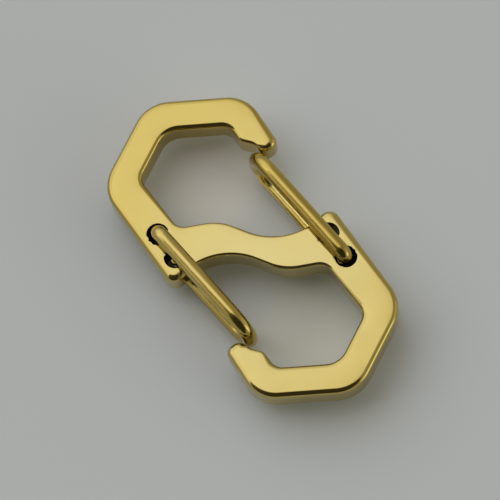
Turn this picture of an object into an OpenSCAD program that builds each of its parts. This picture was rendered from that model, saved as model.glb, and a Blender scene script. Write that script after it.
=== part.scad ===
// S-hook clasp: an S-shaped plate of polished metal with a sprung wire gate across each of its two hooks.
// Millimetres. X runs along the clasp, Y across it in the plate's plane, Z up from the surface it lies on.
// Both hooks are the same shape. The left one is described, and half a turn about Z makes the right one.
// Only the gates' angles differ a little, as each one rests in its nose with some play.

/* [Plate] */
// Length over the two pointed ends
plate_length = 30.1; // [28:0.1:34]
// Thickness of the plate
plate_thickness = 2.75; // [2.4:0.05:3.2]
// Distance of the long side from the centre line at the end of its lug
lug_side_y = 7.44; // [7.3:0.02:7.5]
// Distance of the long side from the centre line at its far corner
far_side_y = 7.68; // [7.5:0.02:7.8]
// Distance of the short side with the nose from the centre line
nose_side_y = 6.86; // [6.7:0.02:7]
// Height of the pointed end against the centre line
tip_y = -0.44; // [-0.6:0.02:-0.3]
// Width of the bar along the two sides that meet at the pointed end
tip_bar = 2.64; // [2.4:0.02:2.8]
// Width of the bar along the nose side
nose_bar = 2.76; // [2.6:0.02:2.8]
// Width of the long bar at its far corner
far_bar = 3.14; // [2.9:0.02:3.2]
// Width of the long bar beside the middle bar
root_bar = 3.2; // [3.1:0.02:3.3]

/* [Corners] */
// Corner radius of the outline at the pointed end
tip_corner_r = 3.3; // [3:0.1:3.8]
// Corner radius of the outline at the far end of the long side
far_corner_r = 3.2; // [2.6:0.1:3.4]
// Corner radius of the outline between the pointed end and the nose side
nose_corner_r = 3; // [2.6:0.1:3.2]
// Rounding of the plate's outer edges
outer_edge_r = 0.46; // [0.2:0.02:0.46]
// Rounding of the plate's inner edges
inner_edge_r = 0.42; // [0.2:0.02:0.44]
// Rounding of the plate's edges along the middle bar and the noses' seats, where the polishing wheel hardly reaches
tight_edge_r = 0.26; // [0.2:0.02:0.4]
// Rounding of the plate's edges at the ends of the lugs and noses
end_edge_r = 0.62; // [0.4:0.02:0.66]

/* [Gates] */
// Diameter of the gate wire
wire_d = 1.3; // [1.2:0.02:1.34]
// Clear gap between each leg of the wire and the plate's face
leg_gap = 0.12; // [0.1:0.01:0.2]
// Radius of the wire's centre line in the bends at the nose, as a share of half the height between its legs
nose_bend_share = 0.955; // [0.5:0.005:0.98]
// Diameter of the pins at the wire's two ends, hidden in the holes
pin_d = 0.78; // [0.6:0.02:0.8]
// Diameter of the holes that hold the pins
hole_d = 1.82; // [1.8:0.02:1.9]
// Angle of the closed lower gate against the clasp's long axis
lower_gate_angle = 7.3; // [6.7:0.1:7.4]
// Angle of the closed upper gate against the clasp's long axis
upper_gate_angle = 6.8; // [6.7:0.1:7.4]

/* [Hidden] */

// Heights above the surface that the wires' rear legs rest on
wire_r = wire_d / 2;
rear_leg_z = wire_r;
plate_z = wire_d + leg_gap;
plate_top_z = plate_z + plate_thickness;
front_leg_z = plate_top_z + leg_gap + wire_r;

// Centres of the two holes at the root of the left hook. The far hole takes the end of the front leg, and the
// near hole takes the end of the rear leg.
far_hole = [-5.25, -5.95];
near_hole = [-2.74, -5.84];
// No light shows through the far hole, so it stops short of the rear face by this much. The near hole goes through.
far_hole_floor = 0.3;
// How far a cut runs past the face it comes out of
cut_past = 1;
// Centre of the wire's end at the far hole while the gate is closed, and distance from it to the other end
far_end = [-5.25, -5.88];
end_spacing = 2.56;
// Distance from the far end to the centre line of the wire at the nose
gate_reach = 11.61;
// The bend's radius in whole hundredths of a millimetre
nose_bend_r = round(100 * nose_bend_share * (front_leg_z - rear_leg_z) / 2) / 100;
// The wire turns down to its pins in a bend that is as tight as the wire allows
end_bend_r = wire_r + 0.04;
// The pins stand off the wire's centre line, to opposite sides, so that the gate can swing open in its holes
pin_offset = 0.34;
// How far a pin stops short of the plate's other face
pin_recess = 0.5;
// Rounding of the plate's edge on the inside of the nose
nose_inside_edge_r = 0.55;

// Both sides that meet at the pointed end lie 60 degrees from the long axis. Their tip is the point where
// they would meet if the corner were sharp.
side_angle = 60;
outer_tip_x = plate_length / 2 + tip_corner_r * (1 / sin(side_angle) - 1);
inner_tip_x = outer_tip_x - tip_bar / sin(side_angle);
inner_far_y = -(far_side_y - far_bar);
inner_nose_y = nose_side_y - nose_bar;

// X of the point at height y on a sloping side, from the X of its tip
function side_x(tip_x, y) = -tip_x + abs(y - tip_y) / tan(side_angle);

// Corners of half the outline, clockwise from the end of the left hook's lug to the back of the right lug.
// Columns: x, y, corner radius, rounding of the plate's edge there
half_corners = [
    [-0.65, -lug_side_y, 0.9, end_edge_r],                                         // end of the lug
    [side_x(outer_tip_x, -far_side_y), -far_side_y, far_corner_r, outer_edge_r],   // far corner
    [-outer_tip_x, tip_y, tip_corner_r, outer_edge_r],                             // pointed end
    [side_x(outer_tip_x, nose_side_y), nose_side_y, nose_corner_r, outer_edge_r],  // nose side's corner
    [-6.2, nose_side_y, 0.75, end_edge_r],                                         // outside of the nose
    [-6.2, 5.25, 0.75, nose_inside_edge_r],                                        // inside of the nose
    [-7.36, 4.96, 1, tight_edge_r],                                                // seat of the wire
    [-8.2, 4.22, 0.8, tight_edge_r],                                               // heel of the seat
    [side_x(inner_tip_x, inner_nose_y), inner_nose_y, 1.2, inner_edge_r],          // inner corner
    [-inner_tip_x, tip_y, 1.9, inner_edge_r],                                      // inner pointed end
    [side_x(inner_tip_x, inner_far_y), inner_far_y, 1.2, inner_edge_r],            // inner far corner
    [-4.8, -(lug_side_y - root_bar), 1.2, tight_edge_r],                           // middle bar's root
    [-3.37, -1.02, 4.5, tight_edge_r],                                             // middle bar's first wave
    [1.22, 2.04, 5.5, tight_edge_r],                                               // middle bar's second wave
    [1.22, 5.3, 1.2, inner_edge_r],                                                // back of the right lug
];
X = 0;
Y = 1;
CORNER_R = 2;
EDGE_R = 3;

// Degrees of turn for each facet of a corner, and steps in a rounded edge
corner_step = 9;
edge_steps = 4;

function half_turn(row) = [-row[X], -row[Y], row[CORNER_R], row[EDGE_R]];
function unit(v) = v / norm(v);

// Points along the arc that rounds one corner. Columns: x, y, outward normal x, y, rounding of the edge.
// The outline runs clockwise, so outward is on the left of its way.
function corner_arc(before, corner, after) =
    let (
        c = [corner[X], corner[Y]],
        way_in = unit(c - [before[X], before[Y]]),
        way_out = unit([after[X], after[Y]] - c),
        turn = atan2(way_in[X] * way_out[Y] - way_in[Y] * way_out[X], way_in * way_out),
        start = c - way_in * corner[CORNER_R] * tan(abs(turn) / 2),
        left = [-way_in[Y], way_in[X]],
        centre = start + sign(turn) * corner[CORNER_R] * left,
        steps = max(2, ceil(abs(turn) / corner_step))
    )
    [
        for (i = [0 : steps])
            let (
                a = turn * i / steps,
                normal = [left[X] * cos(a) - left[Y] * sin(a), left[X] * sin(a) + left[Y] * cos(a)],
                p = centre - sign(turn) * corner[CORNER_R] * normal
            )
            [p[X], p[Y], normal[X], normal[Y], corner[EDGE_R]]
    ];

corners = concat(half_corners, [for (row = half_corners) half_turn(row)]);
outline = [
    for (i = [0 : len(corners) - 1])
        each corner_arc(
            corners[(i + len(corners) - 1) % len(corners)],
            corners[i],
            corners[(i + 1) % len(corners)]
        )
];

// One ring of points round the plate. Along a rounded edge, the outline draws in by the rounding's own
// quarter circle: by nothing at 0 degrees and by its whole radius at 90 degrees.
function ring(edge_angle, upper) = [
    for (p = outline)
        let (
            inset = p[4] * (1 - cos(edge_angle)),
            rise = p[4] * (1 - sin(edge_angle))
        )
        [p[0] - p[2] * inset, p[1] - p[3] * inset, upper ? plate_thickness - rise : rise]
];
rings = concat(
    [for (i = [edge_steps : -1 : 0]) ring(90 * i / edge_steps, false)],
    [for (i = [0 : edge_steps]) ring(90 * i / edge_steps, true)]
);

// Twice the area of a triangle, below zero where its corners run clockwise
function area2(a, b, c) = (b[X] - a[X]) * (c[Y] - a[Y]) - (b[Y] - a[Y]) * (c[X] - a[X]);
function inside(p, a, b, c) = area2(a, b, p) <= 0 && area2(b, c, p) <= 0 && area2(c, a, p) <= 0;

// The corner before k, corner k and the corner after it, of a loop of point numbers
function corner_at(loop, k) =
    [loop[(k + len(loop) - 1) % len(loop)], loop[k], loop[(k + 1) % len(loop)]];

// Whether a triangle of the loop lies inside it and holds no other of its points
function is_free(points, loop, t) =
    area2(points[t[0]], points[t[1]], points[t[2]]) < 0
    && len([
        for (i = loop)
            if (i != t[0] && i != t[1] && i != t[2]
                && inside(points[i], points[t[0]], points[t[1]], points[t[2]])) i
    ]) == 0;

// Cuts a clockwise loop of points into triangles, one corner after another
function triangles(points, loop, k, done) =
    len(loop) == 3 ? concat(done, [loop])
    : let (at = k % len(loop), t = corner_at(loop, at))
    is_free(points, loop, t)
    ? triangles(points, [for (i = [0 : len(loop) - 1]) if (i != at) loop[i]], at + 1, concat(done, [t]))
    : triangles(points, loop, at + 1, done);

// The plate as one closed surface through all rings
module rounded_plate() {
    n = len(outline);
    last = len(rings) - 1;
    sides = [
        for (r = [0 : last - 1], i = [0 : n - 1])
            let (j = (i + 1) % n)
            [r * n + i, r * n + j, (r + 1) * n + j, (r + 1) * n + i]
    ];
    face = triangles(rings[0], [for (i = [0 : n - 1]) i], 0, []);
    lower_face = [for (t = face) [t[2], t[1], t[0]]];
    upper_face = [for (t = face) [last * n + t[0], last * n + t[1], last * n + t[2]]];
    polyhedron([for (r = rings) each r], concat(sides, lower_face, upper_face));
}

module s_frame() {
    color("#d9bf63")
    difference() {
        translate([0, 0, plate_z])
        rounded_plate();
        for (turn = [0, 180], hole = [far_hole, near_hole])
            rotate([0, 0, turn])
            translate([hole[X], hole[Y], plate_z + (hole == far_hole ? far_hole_floor : -cut_past)])
            cylinder(d = hole_d, h = plate_thickness + 2 * cut_past, $fn = 48);
    }
}

// A straight length of wire or pin along Z
module rod(d, low, high) {
    translate([0, 0, low])
    cylinder(d = d, h = high - low, $fn = 32);
}

// A quarter bend of wire in the XZ plane round the origin, from straight right to straight up
module quarter_bend(r) {
    rotate([90, 0, 0])
    rotate_extrude(angle = 90, $fn = 96)
    translate([r, 0])
    circle(d = wire_d, $fn = 32);
}

// One leg of the wire along X, with the bend at its end and the bend at the nose. Side is 1 for the front leg
// and -1 for the rear leg, and end_x is the distance of its end from the far end.
module leg(z, end_x, side) {
    translate([0, 0, z])
    rotate([0, 90, 0])
    rod(wire_d, end_x + end_bend_r, gate_reach - nose_bend_r);
    translate([end_x + end_bend_r, 0, z - side * end_bend_r])
    mirror([0, 0, side < 0 ? 1 : 0])
    mirror([1, 0, 0])
    quarter_bend(end_bend_r);
    translate([gate_reach - nose_bend_r, 0, z - side * nose_bend_r])
    mirror([0, 0, side < 0 ? 1 : 0])
    quarter_bend(nose_bend_r);
}

// The whole closed wire, for the hook whose holes are on the left
module gate(angle) {
    translate([far_end[X], far_end[Y], 0])
    rotate([0, 0, angle])
    {
        leg(front_leg_z, 0, 1);
        leg(rear_leg_z, end_spacing, -1);
        translate([gate_reach, 0, 0])
        rod(wire_d, rear_leg_z + nose_bend_r, front_leg_z - nose_bend_r);
        translate([0, pin_offset, 0])
        rod(pin_d, plate_z + pin_recess, front_leg_z - end_bend_r);
        translate([end_spacing, -pin_offset, 0])
        rod(pin_d, rear_leg_z + end_bend_r, plate_top_z - pin_recess);
    }
}

module lower_gate() {
    color("#c9aa4a")
    gate(lower_gate_angle);
}

module upper_gate() {
    color("#c9aa4a")
    rotate([0, 0, 180])
    gate(upper_gate_angle);
}

s_frame();
lower_gate();
upper_gate();
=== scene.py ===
import bmesh
import bpy
import numpy as np
from mathutils import Matrix, Vector
from mathutils.geometry import delaunay_2d_cdt


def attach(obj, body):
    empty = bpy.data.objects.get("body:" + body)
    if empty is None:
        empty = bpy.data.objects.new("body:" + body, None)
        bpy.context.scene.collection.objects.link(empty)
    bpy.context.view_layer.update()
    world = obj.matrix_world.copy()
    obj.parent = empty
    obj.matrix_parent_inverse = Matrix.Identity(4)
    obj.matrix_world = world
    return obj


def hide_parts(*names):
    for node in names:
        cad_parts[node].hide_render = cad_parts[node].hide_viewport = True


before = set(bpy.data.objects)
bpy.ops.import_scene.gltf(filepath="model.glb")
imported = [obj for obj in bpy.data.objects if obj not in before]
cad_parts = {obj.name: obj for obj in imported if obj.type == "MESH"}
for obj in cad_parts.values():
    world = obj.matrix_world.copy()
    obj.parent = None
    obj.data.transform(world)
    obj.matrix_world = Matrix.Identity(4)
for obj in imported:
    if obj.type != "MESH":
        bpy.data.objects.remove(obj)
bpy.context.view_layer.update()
MM = 0.001

# %% [markdown]
# ## The camera
# A close view through a long lens keeps the two hooks nearly the same size, and a phone held close would
# not. The camera stands 417 mm away and looks almost straight down, 17 degrees off the vertical. Three
# directions place it: right and up in the picture, and back, from the clasp to the camera. They are the
# columns of its matrix. It looks at a point over the clasp's middle, moved a little so that the clasp sits
# right in the picture.
# %% Place the camera
right = Vector((0.54709, 0.83422, -0.06912)).normalized()
up = Vector((-0.78926, 0.54159, 0.28939))
back = right.cross(up).normalized()
up = back.cross(right)
LENS = 360.45
DISTANCE = 416.67 * MM
AIM_HEIGHT, AIM_LEFTWARDS, AIM_DOWNWARDS = 4.17 * MM, 0.135 * MM, 0.392 * MM
aim = Vector((0, 0, AIM_HEIGHT)) - AIM_LEFTWARDS * right - AIM_DOWNWARDS * up

camera_data = bpy.data.cameras.new("camera")
camera_data.lens = LENS
camera_data.sensor_width = 36
camera_data.clip_start = 0.01
camera_data.clip_end = 10
camera = bpy.data.objects.new("camera", camera_data)
columns = Matrix((right, up, back)).transposed().to_4x4()
camera.matrix_world = Matrix.Translation(aim + back * DISTANCE) @ columns
bpy.context.scene.collection.objects.link(camera)
bpy.context.scene.camera = camera
print("The camera looks down", round(np.degrees(np.arccos(back.z)), 1), "degrees off the vertical")

# %% [markdown]
# ## The plate's outline
# A real plate is stamped or cut from sheet, so its outline is straight runs joined by arcs. It could be
# drawn as a Bezier curve, but an arc would then be off by a little everywhere, and a polished edge shows
# that. Here each corner is a point with a radius, and the arc between its two tangent points is worked out
# exactly. The S looks the same after half a turn, so only half of its corners are listed.
# %% List the corners
PLATE_LENGTH = 30.1
LONG_SIDE_AT_LUG, LONG_SIDE_AT_CORNER, NOSE_SIDE = 7.44, 7.68, 6.86
TIP_Y = -0.44
TIP_BAR, NOSE_BAR, FAR_BAR, ROOT_BAR = 2.64, 2.76, 3.14, 3.2
TIP_CORNER, FAR_CORNER, NOSE_CORNER = 3.3, 3.2, 3
OUTER_EDGE, INNER_EDGE, TIGHT_EDGE, END_EDGE, NOSE_INSIDE_EDGE = 0.46, 0.42, 0.26, 0.62, 0.55
SIDE_ANGLE = np.radians(60)
outer_tip = PLATE_LENGTH / 2 + TIP_CORNER * (1 / np.sin(SIDE_ANGLE) - 1)
inner_tip = outer_tip - TIP_BAR / np.sin(SIDE_ANGLE)
inner_far = -(LONG_SIDE_AT_CORNER - FAR_BAR)
inner_nose = NOSE_SIDE - NOSE_BAR


def side_x(tip, y):
    """X at height y on a side at 60 degrees from the hook's sharp tip: |y - TIP_Y| / tan 60 - tip."""
    return -tip + abs(y - TIP_Y) / np.tan(SIDE_ANGLE)


# x, y, corner radius and rounding of the plate's edge, in mm, clockwise from the end of the left hook's lug
half_corners = np.array([
    [-0.65, -LONG_SIDE_AT_LUG, 0.9, END_EDGE],
    [side_x(outer_tip, -LONG_SIDE_AT_CORNER), -LONG_SIDE_AT_CORNER, FAR_CORNER, OUTER_EDGE],
    [-outer_tip, TIP_Y, TIP_CORNER, OUTER_EDGE],
    [side_x(outer_tip, NOSE_SIDE), NOSE_SIDE, NOSE_CORNER, OUTER_EDGE],
    [-6.2, NOSE_SIDE, 0.75, END_EDGE],
    [-6.2, 5.25, 0.75, NOSE_INSIDE_EDGE],
    [-7.36, 4.96, 1, TIGHT_EDGE],
    [-8.2, 4.22, 0.8, TIGHT_EDGE],
    [side_x(inner_tip, inner_nose), inner_nose, 1.2, INNER_EDGE],
    [-inner_tip, TIP_Y, 1.9, INNER_EDGE],
    [side_x(inner_tip, inner_far), inner_far, 1.2, INNER_EDGE],
    [-4.8, -(LONG_SIDE_AT_LUG - ROOT_BAR), 1.2, TIGHT_EDGE],
    [-3.37, -1.02, 4.5, TIGHT_EDGE],
    [1.22, 2.04, 5.5, TIGHT_EDGE],
    [1.22, 5.3, 1.2, INNER_EDGE],
])
half_turn = np.array([-1, -1, 1, 1])
corners = np.vstack([half_corners, half_corners * half_turn])
print(len(corners), "corners, over", round(2 * outer_tip, 2), "mm between the sharp tips")

# %% Round the corners
ARC_STEPS = 24


def rounded(corners, steps):
    """The outline with its corners rounded: points, outward normals and edge rounding, a row for each point.

    With unit ways in and out of a corner, the arc starts radius * tan(turn / 2) before the corner. Its centre
    is one radius to the side that the outline turns to, and the outward normal turns evenly along it.
    """
    point = corners[:, :2]
    radius = corners[:, 2]
    way_in = point - np.roll(point, 1, axis=0)
    way_in /= np.linalg.norm(way_in, axis=1, keepdims=True)
    way_out = np.roll(way_in, -1, axis=0)
    turn = np.arctan2(
        way_in[:, 0] * way_out[:, 1] - way_in[:, 1] * way_out[:, 0],
        (way_in * way_out).sum(axis=1),
    )
    start = point - way_in * (radius * np.tan(abs(turn) / 2))[:, None]
    left = np.column_stack([-way_in[:, 1], way_in[:, 0]])
    reach = (np.sign(turn) * radius)[:, None]
    centre = start + reach * left
    angle = turn[:, None] * np.linspace(0, 1, steps + 1)
    c, s = np.cos(angle), np.sin(angle)
    normal = np.stack([left[:, :1] * c - left[:, 1:] * s, left[:, :1] * s + left[:, 1:] * c], axis=-1)
    place = centre[:, None] - reach[:, None] * normal
    edge = np.repeat(corners[:, 3], steps + 1)
    return place.reshape(-1, 2), normal.reshape(-1, 2), edge


outline, outline_normal, outline_edge = rounded(corners, ARC_STEPS)
print(len(outline), "points round the plate")

# %% [markdown]
# ## The plate's surface
# Tumbling in polishing stones rounds a stamped plate's edges. A Bevel modifier could round them, but it
# can't make the ends of the hooks softer than the sides. So the skin is a stack of rings. From face to
# wall, a ring draws in by its rounding's quarter circle. Each ring also has its own normals. A polishing
# wheel dips a little over an edge, so they lean outwards by two degrees where the face begins, and a face
# is flat a millimetre further in.
# %% Make the plate's rings
PLATE_LOW, PLATE_THICKNESS = 1.42, 2.75
EDGE_STEPS = 10
SHOULDER = np.radians(2.2)
SHOULDER_REACH = 0.4


def ring_stack(points, normals, rounding):
    """Rings of a wall whose edges are rounded, from the lower face to the upper one, with their normals.

    At an edge angle from 90 degrees on the face to 0 on the wall, a point draws in along its normal by
    rounding * (1 - cos), and lies rounding * (1 - sin) from the face. The normal leans by the same angle,
    less the shoulder on the face itself.
    """
    quarter = np.linspace(np.pi / 2, 0, EDGE_STEPS + 1)
    angle = np.concatenate([quarter, quarter[::-1]])[:, None]
    upper = np.repeat([False, True], EDGE_STEPS + 1)[:, None]
    inset = rounding * (1 - np.cos(angle))
    rise = rounding * (1 - np.sin(angle))
    z = PLATE_LOW + np.where(upper, PLATE_THICKNESS - rise, rise)
    place = np.concatenate([points - normals * inset[..., None], z[..., None]], axis=-1)
    lean = np.minimum(angle, np.pi / 2 - SHOULDER) + 0 * z
    flat = normals * np.cos(lean)[..., None]
    upright = np.where(upper, np.sin(lean), -np.sin(lean))
    return place, np.concatenate([flat, upright[..., None]], axis=-1)


def wall_faces(first, rings, count):
    """Quads between the rings of one stack whose first point has that number, all wound the same way."""
    lower = first + np.arange(rings - 1)[:, None] * count + np.arange(count)
    after = first + np.arange(rings - 1)[:, None] * count + (np.arange(count) + 1) % count
    return np.stack([lower, lower + count, after + count, after], axis=-1).reshape(-1, 4)


plate_wall = ring_stack(outline, outline_normal, outline_edge)
print(len(plate_wall[0]), "rings make the plate's wall and its rounded edges")

# %% [markdown]
# ## The holes
# Four drilled holes take the ends of the wires. They could be cut with a Boolean modifier, but that would
# leave ragged normals round them. So each one is a stack of rings as well, whose wall faces inwards, with a
# hair's breadth of rounding where the drill's burr was polished away. Two go right through. The other two
# stop short of the lower face, as no light shows through them, and their lower rings make a flat bottom
# instead.
# %% Drill the holes
HOLE_RADIUS, HOLE_RIM, HOLE_STEPS = 0.91, 0.05, 96
BLIND_FLOOR = 0.3
CENTRE_SHARE = 0.02
THROUGH = 2
# x and y of each hole's centre in mm, the ones that go through first
holes = np.array([[-2.74, -5.84], [2.74, 5.84], [-5.25, -5.95], [5.25, 5.95]])
around = np.linspace(0, 2 * np.pi, HOLE_STEPS, endpoint=False)
spoke = np.column_stack([np.cos(around), np.sin(around)])

stacks = [plate_wall]
stacks += [ring_stack(hole + HOLE_RADIUS * spoke, -spoke, np.full(HOLE_STEPS, HOLE_RIM)) for hole in holes]
bottom_share = np.linspace(CENTRE_SHARE, 1, EDGE_STEPS + 1)[:, None, None]
for hole, (place, normal) in zip(holes[THROUGH:], stacks[1 + THROUGH:]):
    place[:EDGE_STEPS + 1, :, :2] = hole + HOLE_RADIUS * spoke * bottom_share
    place[:EDGE_STEPS + 1, :, 2] = PLATE_LOW + BLIND_FLOOR
    normal[:EDGE_STEPS + 1] = (0, 0, 1)
rings = 2 * (EDGE_STEPS + 1)
counts = np.array([len(outline)] + [HOLE_STEPS] * len(holes))
ring_points = (counts * rings).sum()
first = np.concatenate([[0], np.cumsum(counts * rings)[:-1]])
walls = np.vstack([wall_faces(f, rings, n) for f, n in zip(first, counts)])
bottoms = [list(range(f, f + HOLE_STEPS)) for f in first[1 + THROUGH:]]
bore_faces = len(walls) - counts[0] * (rings - 1)
print(bore_faces, "of", len(walls), "wall faces are in the holes, and", len(bottoms), "holes have a bottom")

# %% [markdown]
# ## The wide faces
# A wide face could be one large polygon, but it couldn't carry the shoulder's lean. So it is filled with a
# grid of points, and Blender's own Delaunay triangulation joins them to the rings. At each point the lean
# fades with the distance from the edge.
# %% Fill the wide faces
GRID = 0.4
INSIDE_ONLY, TOLERANCE = 1, 1e-6


def fill(loops, open_holes, step):
    """Points of a grid inside the first loop and outside the open holes, and triangles that join them all.

    The triangulation keeps to the loops' edges. Its corners are numbered along the loops, then the grid.
    """
    low, high = loops[0].min(axis=0), loops[0].max(axis=0)
    x, y = np.meshgrid(np.arange(low[0], high[0], step), np.arange(low[1], high[1], step))
    grid = np.column_stack([x.ravel(), y.ravel()])
    ends = np.cumsum([len(loop) for loop in loops])
    starts = ends - [len(loop) for loop in loops]
    edges = np.vstack([
        np.column_stack([np.arange(a, b), np.roll(np.arange(a, b), -1)])
        for a, b in zip(starts, ends)
    ])
    given = np.vstack([*loops, grid])
    made = delaunay_2d_cdt([Vector(p) for p in given], edges.tolist(), [], INSIDE_ONLY, TOLERANCE)
    source = np.array([numbers[0] for numbers in made[3]])
    faces = source[np.array(made[2])]
    centre = given[faces].mean(axis=1)
    for hole in open_holes:
        faces, centre = (kept[np.hypot(*(centre - hole).T) > HOLE_RADIUS] for kept in (faces, centre))
    inner = np.unique(faces[faces >= ends[-1]])
    number = np.arange(len(given))
    number[inner] = ends[-1] + np.arange(len(inner))
    return given[inner], number[faces]


def skin(side, loop_starts, open_holes, start):
    """The grid, its normals and the triangles of a wide face: side is 1 for the upper one, -1 for the lower.

    A normal leans outwards by the shoulder * exp(-distance from the edge / the shoulder's reach).
    """
    loops = [stack[0][-1 if side > 0 else 0][:, :2] for stack in stacks[:len(loop_starts)]]
    grid, triangles = fill(loops, open_holes, GRID)
    rim = loops[0]
    near = np.array([np.hypot(*(rim - p).T).argmin() for p in grid])
    lean = SHOULDER * np.exp(-np.hypot(*(rim[near] - grid).T) / SHOULDER_REACH)
    flat = outline_normal[near] * np.sin(lean)[:, None]
    height = PLATE_LOW + (PLATE_THICKNESS if side > 0 else 0)
    numbers = [loop_start + np.arange(len(loop)) for loop_start, loop in zip(loop_starts, loops)]
    faces = np.concatenate([*numbers, start + np.arange(len(grid))])[triangles]
    place = np.column_stack([grid, np.full(len(grid), height)])
    return place, np.column_stack([flat, side * np.cos(lean)]), faces


def wound(points, faces, upward):
    """The triangles, each turned over if the sign of its doubled area isn't the one asked for."""
    a, b, c = (points[faces[:, k], :2] for k in range(3))
    area = (b[:, 0] - a[:, 0]) * (c[:, 1] - a[:, 1]) - (b[:, 1] - a[:, 1]) * (c[:, 0] - a[:, 0])
    return np.where((area > 0)[:, None] == upward, faces, faces[:, ::-1])


upper, upper_normal, upper_face = skin(1, first + (rings - 1) * counts, holes, ring_points)
lower, lower_normal, lower_face = skin(-1, first[:1 + THROUGH], holes[:THROUGH], ring_points + len(upper))
plate_points = np.vstack([*[stack[0].reshape(-1, 3) for stack in stacks], upper, lower])
plate_normals = np.vstack([*[stack[1].reshape(-1, 3) for stack in stacks], upper_normal, lower_normal])
upper_face = wound(plate_points, upper_face, True)
lower_face = wound(plate_points, lower_face, False)
print(len(upper), "points on the upper face, and", len(lower), "on the lower one")

# %% Make the plate


def new_piece(name, points, faces, body, nodes, normals=None):
    """A smooth mesh from points in mm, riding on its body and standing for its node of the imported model."""
    mesh = bpy.data.meshes.new(name)
    mesh.from_pydata(points * MM, [], faces)
    mesh.shade_smooth()
    if normals is not None:
        mesh.normals_split_custom_set_from_vertices(normals)
    piece = bpy.data.objects.new(name, mesh)
    bpy.context.scene.collection.objects.link(piece)
    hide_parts(*nodes)
    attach(piece, body)
    solid = bmesh.new()
    solid.from_mesh(mesh)
    volume = solid.calc_volume(signed=True) / MM ** 3
    solid.free()
    print(name, "has", len(points), "points and holds", round(volume, 1), "mm3")
    return piece


plate = new_piece(
    "polished_plate",
    plate_points,
    walls.tolist() + bottoms + upper_face.tolist() + lower_face.tolist(),
    "frame", ["s_frame"], plate_normals,
)

# %% [markdown]
# ## The wire gates
# Each gate is one piece of hard round wire, bent into a long flat U that straddles the hook's nose. Its two
# ends turn inwards and sit in the two holes, one from above and one from below. A curve with a round bevel
# would do, but its ends couldn't step down to the thin pins. So a ring is carried along the bent path, and
# its radius and its centre are arrays like the path itself.
# %% Work out the bent path
WIRE, PIN = 0.65, 0.39
FRONT_Z, REAR_Z = 4.94, 0.65
END_BEND, NOSE_BEND = 0.69, 2.05
REACH, SPACING = 11.61, 2.56


def bend(x, z, radius, start, spread):
    """A quarter bend that turns clockwise about (x, z) in the wire's plane: rows of x, z and heading.

    The point is the centre plus radius * (-sin heading, cos heading), and spread says how far it has got.
    """
    heading = start - spread * np.pi / 2
    return np.column_stack([x - radius * np.sin(heading), z + radius * np.cos(heading), heading])


def straight(begin, end, steps=12):
    """Rows of x, z and heading between two rows, without the rows themselves."""
    w = np.linspace(0, 1, steps + 2)[1:-1, None]
    return begin + (end - begin) * w


# The rows crowd together at the wire's cut ends, whose edges are rounded
even = np.linspace(0, 1, 25)
front_end = bend(END_BEND, FRONT_Z - END_BEND, END_BEND, np.pi / 2, even ** 2)
upper_nose = bend(REACH - NOSE_BEND, FRONT_Z - NOSE_BEND, NOSE_BEND, 0, even)
lower_nose = bend(REACH - NOSE_BEND, REAR_Z + NOSE_BEND, NOSE_BEND, -np.pi / 2, even)
rear_end = bend(SPACING + END_BEND, REAR_Z + END_BEND, END_BEND, -np.pi, 1 - (1 - even) ** 2)
path = np.vstack([
    front_end, straight(front_end[-1], upper_nose[0]),
    upper_nose, straight(upper_nose[-1], lower_nose[0], 3),
    lower_nose, straight(lower_nose[-1], rear_end[0]),
    rear_end,
])
steps = np.linalg.norm(np.diff(path[:, :2], axis=0), axis=1)
along = np.concatenate([[0], np.cumsum(steps)])
print("The wire is", round(along[-1], 2), "mm long between its ends")

# %% Carry a ring along the path
RING = 64
END_ROUNDING, TIP_ROUNDING = 0.06, 0.1
POLE = 0.001
PIN_OFFSET, PIN_RECESS = 0.34, 0.5


def pin(x, low, high, heading, offset):
    """Rows for a pin, from its closed tip at one height to the other: x, z, heading, radius, sideways offset.

    The tip starts at a pole too small to see, and its edge is a quarter circle.
    """
    t = np.linspace(0, np.pi / 2, 7)
    way = np.sign(high - low)
    tip = np.column_stack([
        PIN - TIP_ROUNDING + TIP_ROUNDING * np.sin(t),
        low + way * TIP_ROUNDING * (1 - np.cos(t)),
    ])
    shape = np.vstack([[POLE, low], tip, [PIN, high]])
    rows = np.column_stack([np.full(len(shape), x), shape[:, 1], np.full(len(shape), heading), shape[:, 0]])
    return np.column_stack([rows, np.full(len(shape), offset)])


def end_rounding(distance):
    """The wire's radius near its cut end: a quarter circle of END_ROUNDING, then full."""
    short = np.clip(END_ROUNDING - distance, 0, END_ROUNDING)
    return WIRE - END_ROUNDING + np.sqrt(END_ROUNDING ** 2 - short ** 2)


def wire_rings(stations):
    """Rings round the path: centre + radius * (cos turn * outward + sin turn * sideways)."""
    x, z, heading, radius, offset = (stations[:, k, None] for k in range(5))
    turn = np.linspace(0, 2 * np.pi, RING, endpoint=False)
    out = radius * np.cos(turn)
    return np.stack([
        x - np.sin(heading) * out,
        offset + radius * np.sin(turn),
        z + np.cos(heading) * out,
    ], axis=-1)


from_end = np.minimum(along, along[-1] - along)
bent_wire = np.column_stack([path, end_rounding(from_end), np.zeros(len(path))])
front_pin = pin(0, PLATE_LOW + PIN_RECESS, FRONT_Z - END_BEND, np.pi / 2, PIN_OFFSET)
rear_low = PLATE_LOW + PLATE_THICKNESS - PIN_RECESS
rear_pin = pin(SPACING, rear_low, REAR_Z + END_BEND, -3 * np.pi / 2, -PIN_OFFSET)
stations = np.vstack([front_pin, bent_wire, rear_pin[::-1]])
print("A gate has", len(stations), "rings of", RING, "points")

# %% Make the two gates
HINGE = (-5.25, -5.88, 0)
LOWER_ANGLE, UPPER_ANGLE = 7.3, 6.8


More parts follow.
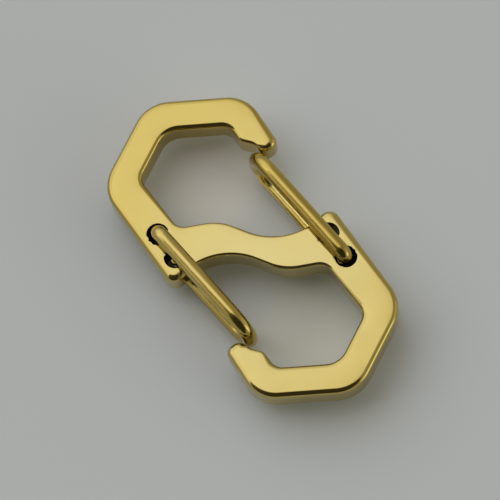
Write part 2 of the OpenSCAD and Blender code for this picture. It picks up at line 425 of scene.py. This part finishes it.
def gate(name, body_name, angle, turned):
    """One gate, swung to its angle about the end of its front leg, and half a turn on for the other hook.

    Its UV map holds the length along the wire in mm, and the turn round it as a share, so the seam is closed.
    """
    count = len(stations)
    points = wire_rings(stations).reshape(-1, 3)
    faces = wall_faces(0, count, RING).tolist()
    faces += [list(range(RING))[::-1], list(range((count - 1) * RING, count * RING))]
    c, s = np.cos(np.radians(angle)), np.sin(np.radians(angle))
    spin = np.array([[c, -s, 0], [s, c, 0], [0, 0, 1]])
    place = points @ spin.T + HINGE
    if turned:
        place = place * [-1, -1, 1]
    piece = new_piece(name, place, faces, body_name, [body_name])
    length = np.concatenate([[0], np.cumsum(np.linalg.norm(np.diff(stations[:, :2], axis=0), axis=1))])
    quad_u = length[np.arange(count - 1)[:, None, None] + np.array([0, 1, 1, 0])]
    quad_v = (np.arange(RING)[:, None] + np.array([0, 0, 1, 1])) / RING
    quads = np.stack(np.broadcast_arrays(quad_u, quad_v), axis=-1).reshape(-1, 2)
    ends = np.zeros((2 * RING, 2))
    run = piece.data.uv_layers.new(name="along_wire")
    run.data.foreach_set("uv", np.vstack([quads, ends]).ravel())
    return piece


lower_wire = gate("lower_wire", "lower_gate", LOWER_ANGLE, False)
upper_wire = gate("upper_wire", "upper_gate", UPPER_ANGLE, True)

# %% [markdown]
# ## Shader maths as Python
# A material is a tree of small nodes. Placing each node and link by hand takes a line for each, so this
# class lets Python's own signs do it: with two signals a and b, a * b adds a Math node that multiplies
# them. Every other node comes from its one method, and five short ones call it for the nodes that are used
# most.
# %% Wrap a socket


class Signal:
    """One output of a node in a tree. Sums and products with numbers or other signals add Math nodes."""

    def __init__(self, tree, socket=None):
        self.tree = tree
        self.socket = socket

    def node(self, kind, settings=None, sockets=None, output=0):
        """Adds a node, sets it up, fills or links its inputs by name or number, and returns one output."""
        new = self.tree.nodes.new(kind)
        for key, value in (settings or {}).items():
            setattr(new, key, value)
        for key, value in (sockets or {}).items():
            if isinstance(value, Signal):
                self.tree.links.new(value.socket, new.inputs[key])
            else:
                new.inputs[key].default_value = value
        return Signal(self.tree, new.outputs[output] if len(new.outputs) else None)

    def other_output(self, number):
        """Another output of the node that this signal comes from."""
        return Signal(self.tree, self.socket.node.outputs[number])

    def maths(self, operation, a, b):
        """A Math node on two values."""
        return self.node("ShaderNodeMath", {"operation": operation}, {0: a, 1: b})

    def __add__(self, other):
        return self.maths("ADD", self, other)

    def __sub__(self, other):
        return self.maths("SUBTRACT", self, other)

    def __rsub__(self, other):
        return self.maths("SUBTRACT", other, self)

    def __mul__(self, other):
        return self.maths("MULTIPLY", self, other)

    __radd__ = __add__
    __rmul__ = __mul__

    def fade(self, low, high, at_low=0, at_high=1):
        """A smooth step from at_low to at_high, while this signal goes from low to high."""
        return self.node("ShaderNodeMapRange", {"interpolation_type": "SMOOTHSTEP"}, {
            "Value": self, "From Min": low, "From Max": high, "To Min": at_low, "To Max": at_high,
        })

    def distance(self, point):
        """How far the place that this signal holds is from a point."""
        settings = {"operation": "DISTANCE"}
        return self.node("ShaderNodeVectorMath", settings, {0: self, 1: point}, output="Value")

    def mix(self, here, there):
        """A colour that goes from the first to the second as this signal goes from 0 to 1."""
        return self.node("ShaderNodeMix", {"data_type": "RGBA"}, {0: self, 6: here, 7: there}, output=2)

    def noise(self, scale, detail):
        """Noise read at the place that this signal holds, with that many lumps to each unit of it."""
        return self.node("ShaderNodeTexNoise", sockets={"Vector": self, "Scale": scale, "Detail": detail})

    def bump(self, height, **beneath):
        """This signal as a relief of that height, on the normal beneath it if one is given."""
        sockets = {"Strength": 1, "Distance": height, "Height": self, **beneath}
        return self.node("ShaderNodeBump", sockets=sockets)


def new_material(name):
    """An empty material, and the start of its tree."""
    material = bpy.data.materials.new(name)
    material.use_nodes = True
    material.node_tree.nodes.clear()
    return material, Signal(material.node_tree)


# %% [markdown]
# ## Polished gold plating
# Gold plating is a metal, so its colour is the colour of its mirror image. Tumbling leaves it glossy but
# not optically flat: it has a very slight swell, fine hairlines, and a grain too small to see that softens
# the reflections. One Principled shader does it, and noise on the object's own coordinates adds the rest.
# The tone is paler round one spot and deeper away from it; the paler tone is painted light, where the
# polished metal shows brighter. A wire has been drawn through a die, which leaves lines along it. An image
# would stretch at the bends, so they are noise on the wire's own UV map.
# The upper gate's rear leg shows palest of all, on its upper side, as a painted reflection of bright light.
# %% Mix the gold
PATCHES, HAZE, WAVES, HAIRLINES = 420, 1500, 300, 1200
HAIRLINE_STRETCH = (1, 9, 3)
PATCH_SHARE, HAZE_SHARE = 0.5, 0.06
PALE_REACH, DEEP_REACH = 3 * MM, 16 * MM
# Where the painted reflection on the upper gate's rear leg sits, and its colour
REAR_LEG, PAINTED_SHEEN = (-2 * MM, 4.5 * MM, 1 * MM), (0.9, 0.73, 0.25, 1)
STREAKS, STREAK_RUN, STREAK_HEIGHT = 7, 0.04, 1e-5


def painted_sheen_on_rear_leg(place, tone):
    """The tone, going over to the palest, a painted reflection, on the upper side of the upper gate's rear
    leg.

    Its share is the product of three smooth steps: over the leg's middle, under the front leg, near the leg.
    """
    height = place.node("ShaderNodeSeparateXYZ", sockets={0: place}, output=2)
    under = height.fade(1.4 * MM, 2.2 * MM, 1, 0)
    over = height.fade(0.65 * MM, 1.05 * MM)
    near = place.distance(REAR_LEG).fade(3.5 * MM, 6 * MM, 1, 0)
    return (over * under * near).mix(tone, PAINTED_SHEEN)


def drawn_lines(start, beneath):
    """A relief of lines along a wire, on the normal beneath.

    The noise is read on a cylinder, at (cos, sin) of the turn round the wire and a little of the length along
    it, so it closes round the wire.
    """
    run = start.node("ShaderNodeUVMap", {"uv_map": "along_wire"})
    length = start.node("ShaderNodeSeparateXYZ", sockets={0: run})
    turn = length.other_output(1) * (2 * np.pi)
    round_wire = start.node("ShaderNodeCombineXYZ", sockets={
        0: turn.maths("COSINE", turn, 0),
        1: turn.maths("SINE", turn, 0),
        2: length * STREAK_RUN,
    })
    return round_wire.noise(STREAKS, 3).bump(STREAK_HEIGHT, Normal=beneath)


def gold(name, pale, deep, painted_bright_spot, roughness, swell, grain, drawn=False):
    """A plated finish: two tones of gold, the paler one round a spot as painted light, and a relief of swell
    and hairlines.

    The deeper tone's share is a smooth step of the distance from the spot, give or take a quarter in patches.
    """
    material, start = new_material(name)
    place = start.node("ShaderNodeTexCoord", output="Object")
    patches = (place.noise(PATCHES, 3) - 0.5) * PATCH_SHARE
    tone = (place.distance(painted_bright_spot).fade(PALE_REACH, DEEP_REACH) + patches).mix(pale, deep)
    gloss = roughness + (place.noise(HAZE, 4) - 0.5) * HAZE_SHARE
    waved = place.noise(WAVES, 1).bump(swell)
    stretched = start.node("ShaderNodeMapping", sockets={"Vector": place, "Scale": HAIRLINE_STRETCH})
    fine = stretched.noise(HAIRLINES, 5).bump(grain, Normal=waved)
    if drawn:
        # Painted reflection: the upper gate's rear leg is paler on its upper side
        tone = painted_sheen_on_rear_leg(place, tone)
        fine = drawn_lines(start, fine)
    finish = start.node("ShaderNodeBsdfPrincipled", sockets={
        "Base Color": tone, "Metallic": 1, "Roughness": gloss, "Normal": fine,
    })
    start.node("ShaderNodeOutputMaterial", sockets={"Surface": finish})
    print(name, "has", len(material.node_tree.nodes), "nodes")
    return material


# %% Plate the pieces
MIDDLE_BAR = (3 * MM, -0.9 * MM, 0)
LEFT_ROOT = (-5 * MM, -6 * MM, 4 * MM)
# The paler tone round the middle bar, and round the left hook's root on the wires, is painted light
plating = gold(
    "plating",
    pale=(0.59, 0.496, 0.196, 1), deep=(0.545, 0.43, 0.122, 1), painted_bright_spot=MIDDLE_BAR,
    roughness=0.07, swell=4e-6, grain=3e-7,
)
wire_plating = gold(
    "wire_plating",
    pale=(0.6, 0.485, 0.165, 1), deep=(0.51, 0.385, 0.095, 1), painted_bright_spot=LEFT_ROOT,
    roughness=0.06, swell=5e-6, grain=5e-7, drawn=True,
)
plate.data.materials.append(plating)
for wire in (lower_wire, upper_wire):
    wire.data.materials.append(wire_plating)

# %% [markdown]
# ## The shaded bores
# Light hardly gets into a narrow drilled hole, so the bores show almost black, and that shade is painted
# as a near-black material. They could be pieces of their own, but the plate is one piece of metal. So the
# plate's mesh has a second material, and each face of a bore asks for it by its number.
# %% Darken the bores
# A near-black finish: painted shade deep in the bores
bore, start = new_material("shaded_bore")
painted_bore_shade = start.node("ShaderNodeBsdfPrincipled", sockets={
    "Base Color": (0.05, 0.04, 0.02, 1), "Metallic": 1, "Roughness": 0.5,
})
start.node("ShaderNodeOutputMaterial", sockets={"Surface": painted_bore_shade})
plate.data.materials.append(bore)
material_number = np.zeros(len(plate.data.polygons), dtype=int)
material_number[len(walls) - bore_faces:len(walls) + len(bottoms)] = 1
plate.data.polygons.foreach_set("material_index", material_number)
print(material_number.sum(), "faces of the plate are bare")

# %% [markdown]
# ## The sheet
# The clasp lies on a pale grey sheet. It shows paler inside the two hooks, and dark through the left hook's
# near hole, where the real wire's thicker end leaves no gap to see it by. The studio's light alone gives
# neither, so both are painted into the sheet's tint, as three round spots with soft edges: two of painted
# light inside the hooks and one of painted shade under the hole.
# %% Lay the sheet
HALF_SHEET = 0.6
SHEET_TINT = (0.775, 0.846, 0.93, 1)
floor_corners = [
    (-HALF_SHEET, -HALF_SHEET, 0), (HALF_SHEET, -HALF_SHEET, 0),
    (HALF_SHEET, HALF_SHEET, 0), (-HALF_SHEET, HALF_SHEET, 0),
]
floor_mesh = bpy.data.meshes.new("floor")
floor_mesh.from_pydata(floor_corners, [], [(0, 1, 2, 3)])
floor = bpy.data.objects.new("floor", floor_mesh)
bpy.context.scene.collection.objects.link(floor)

paper, start = new_material("paper")
place = start.node("ShaderNodeTexCoord", output="Object")
# x and y of a spot's middle and where it starts and ends to fade, in mm, and its tint: two pale spots of
# painted light inside the hooks, then a dark one of painted shade under the near hole
painted_light_and_shade = [
    (-7.8, 1, 2, 6, (0.94, 0.965, 1, 1)),
    (7.7, 0.4, 2, 6, (0.86, 0.915, 0.925, 1)),
    (-3.65, -5.9, 0.9, 1.5, (0.07, 0.07, 0.07, 1)),
]
tint = SHEET_TINT
# Mix painted light and painted shade into the sheet's tint, spot by spot
for x, y, full, gone, painted_tint in painted_light_and_shade:
    share = place.distance((x * MM, y * MM, 0)).fade(full * MM, gone * MM, 1, 0)
    tint = share.mix(tint, painted_tint)
matt = start.node("ShaderNodeBsdfPrincipled", sockets={"Base Color": tint, "Roughness": 0.9})
start.node("ShaderNodeOutputMaterial", sockets={"Surface": matt})
floor_mesh.materials.append(paper)
print("The sheet is", 2 * HALF_SHEET, "m wide and has", len(painted_light_and_shade), "painted_light_and_shade")

# %% [markdown]
# ## The light
# Polished metal shows nothing but what is around it, so the light is the other half of its finish. Area
# lamps would do, but each shows as a hard-edged square in a mirror. So the studio is painted on the sky, in
# round lights with soft edges, over a dim warm room. A dark card stands towards the picture's bottom, and
# gives the rounded edges that face it their dark lines.
# %% Light the studio
ROOM = (0.34, 0.3, 0.22)
BRIGHTNESS = 1.15
world = bpy.data.worlds.new("studio")
world.use_nodes = True
world.node_tree.nodes.clear()
bpy.context.scene.world = world
sky = Signal(world.node_tree)
way = sky.node("ShaderNodeTexCoord", output="Generated")
across = Vector((right.x, right.y, 0)).normalized()
ahead = Vector((up.x, up.y, 0)).normalized()


def blend(operation, a, b):
    """A Vector Math node on two colours."""
    return sky.node("ShaderNodeVectorMath", {"operation": operation}, {0: a, 1: b})


def soft_light(compass, height, inner, outer, colour):
    """A round soft light, full up to its inner angle and gone at its outer one.

    Its compass runs from the picture's right towards its top, and its height is the angle from overhead. The
    light is the colour times a smooth step of the cosine between each way and the light's own.
    """
    c, h = np.radians(compass), np.radians(height)
    axis = (across * np.cos(c) + ahead * np.sin(c)) * np.sin(h) + Vector((0, 0, np.cos(h)))
    near = sky.node("ShaderNodeVectorMath", {"operation": "DOT_PRODUCT"}, {0: way, 1: axis}, output="Value")
    share = near.fade(np.cos(np.radians(outer)), np.cos(np.radians(inner)))
    return sky.node("ShaderNodeVectorMath", {"operation": "SCALE"}, {0: colour, "Scale": share})


# Compass, height, inner and outer angle, and colour: a big light at the upper left, a small one overhead, a
# warm one at the left, two low ones at the right and one at the top
lights = [
    soft_light(141, 42, 12, 54, (0.58, 0.575, 0.59)),
    soft_light(118, 16, 0, 14, (0.28, 0.31, 0.43)),
    soft_light(190, 44, 1, 36, (0.3, 0.28, 0.22)),
    soft_light(3, 74, 18, 30, (0.17, 0.18, 0.17)),
    soft_light(339, 78, 2, 24, (0.8, 0.85, 0.9)),
    soft_light(110, 73, 29, 51, (0.07, 0.09, 0.12)),
]
card = soft_light(264, 45, 43, 48, (0.88, 0.88, 0.88))
total = ROOM
for light in lights:
    total = blend("ADD", light, total)
total = blend("MULTIPLY", total, blend("SUBTRACT", (1, 1, 1), card))
glow = sky.node("ShaderNodeBackground", sockets={"Color": total, "Strength": BRIGHTNESS})
sky.node("ShaderNodeOutputWorld", sockets={"Surface": glow})
bpy.context.scene.view_settings.view_transform = "Standard"
print(len(lights), "soft lights and a dark card light the clasp")
